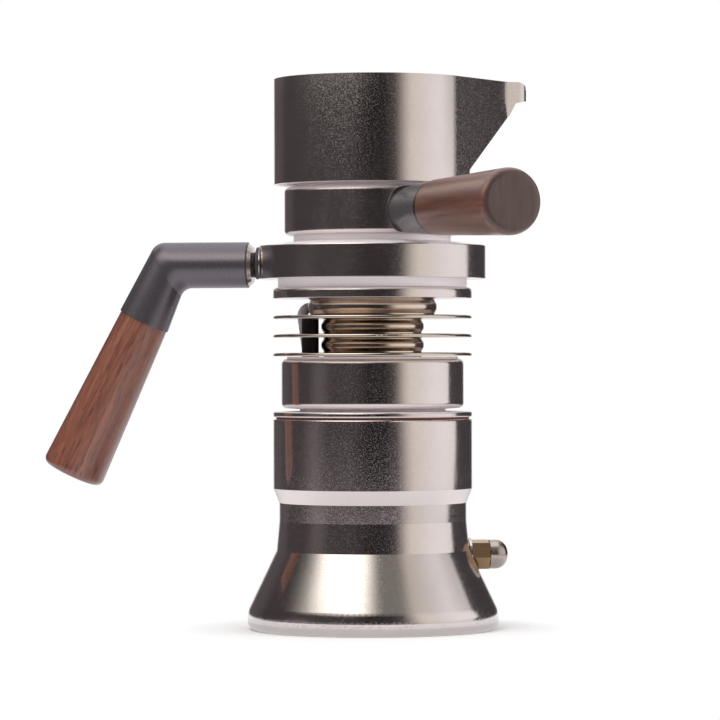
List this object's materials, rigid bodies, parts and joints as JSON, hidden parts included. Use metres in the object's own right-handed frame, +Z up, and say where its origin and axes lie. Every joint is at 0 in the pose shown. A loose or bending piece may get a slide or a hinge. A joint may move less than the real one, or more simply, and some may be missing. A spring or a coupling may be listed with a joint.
{
  "type": "stovetop espresso maker",
  "caption": "Stovetop espresso maker: flared boiler with relief valve, finned neck, screw-on collar with bent wood handle, and a spouted cup with a straight wood handle.",
  "frame": {"origin": "centre of the boiler's flat underside", "axes": "+Z up through the centre line; +X towards the side of the relief valve; the straight handle points mostly towards -Y, the bent handle towards -X"},
  "size_m": [0.1909, 0.1622, 0.2153],
  "materials": {
    "dark_metal": "satin aluminium with a fine mottled grain, dark in its reflections",
    "fin_metal": "turned aluminium",
    "handle_metal": "dark grey, satin",
    "inner_aluminium": "plain turned",
    "coil_metal": "drawn tube",
    "screw_steel": "machined",
    "spring_steel": "drawn wire",
    "valve_steel": "polished, a little warm",
    "valve_brass": "turned",
    "red_rubber": "matt orange-red",
    "black_rubber": "matt black",
    "walnut": "oiled walnut with straight grain"
  },
  "bodies": {
    "base": {"lower_boiler": "dark_metal", "relief_valve_washer": "valve_steel", "relief_valve_body": "valve_brass", "relief_valve_cap": "valve_steel", "relief_valve_spring": "spring_steel"},
    "relief_plunger": {"relief_valve_plunger": "valve_brass"},
    "boiler_seal": {"boiler_gasket": "red_rubber"},
    "upper": {"upper_boiler": "dark_metal", "boiler_lid": "inner_aluminium", "lid_screws": "screw_steel", "valve_body": "valve_brass", "dip_tube": "inner_aluminium", "valve_adjuster": "valve_brass", "valve_spring": "spring_steel", "exchanger_coil": "coil_metal", "riser_tube": "inner_aluminium", "heat_sink": "fin_metal", "sink_screws": "screw_steel", "standpipe": "fin_metal", "bypass_tube": "fin_metal", "sink_flange": "dark_metal", "group_collar": "dark_metal", "collar_screws": "screw_steel", "dispersion_plate": "inner_aluminium", "coffee_basket": "inner_aluminium", "handle_stud": "handle_metal", "handle_elbow": "handle_metal", "bent_grip": "walnut", "bent_grip_rod": "screw_steel"},
    "pressure_plunger": {"valve_plunger": "valve_brass"},
    "basket_seal": {"basket_gasket": "red_rubber"},
    "vessel": {"filter_screen": "inner_aluminium", "screen_ring": "spring_steel", "vessel_ring": "dark_metal", "vessel_cup": "dark_metal", "outlet_chimney": "dark_metal", "chimney_cap": "dark_metal", "ferrule": "handle_metal", "ferrule_washer": "black_rubber", "straight_grip": "walnut", "straight_grip_rod": "screw_steel"}
  },
  "joints": [
    {"name": "relief_lift", "type": "slide", "parent": "base", "child": "relief_plunger", "axis": [0.9877, 0.1564, 0], "range_m": [0, 0.0012], "stiffness_N_per_m": 1500, "deforming": ["relief_valve_spring"]},
    {"name": "upper_rise", "type": "slide", "parent": "base", "child": "boiler_seal", "axis": [0, 0, 1], "range_m": [0, 0.0045]},
    {"name": "upper_turn", "type": "hinge", "parent": "boiler_seal", "child": "upper", "pos_m": [0, 0, 0.0831], "axis": [0, 0, 1], "range_deg": [0, 540]},
    {"name": "valve_lift", "type": "slide", "parent": "upper", "child": "pressure_plunger", "axis": [0, 0, 1], "range_m": [0, 0.0015], "stiffness_N_per_m": 1500, "deforming": ["valve_spring"]},
    {"name": "vessel_rise", "type": "slide", "parent": "upper", "child": "basket_seal", "axis": [0, 0, 1], "range_m": [0, 0.006]},
    {"name": "vessel_turn", "type": "hinge", "parent": "basket_seal", "child": "vessel", "pos_m": [0, 0, 0.1692], "axis": [0, 0, 1], "range_deg": [0, 540]}
  ],
  "couplings": [
    {"joint": "upper_rise", "follows": "upper_turn", "m_per_rad": 0.00047746},
    {"joint": "vessel_rise", "follows": "vessel_turn", "m_per_rad": 0.00063662}
  ]
}
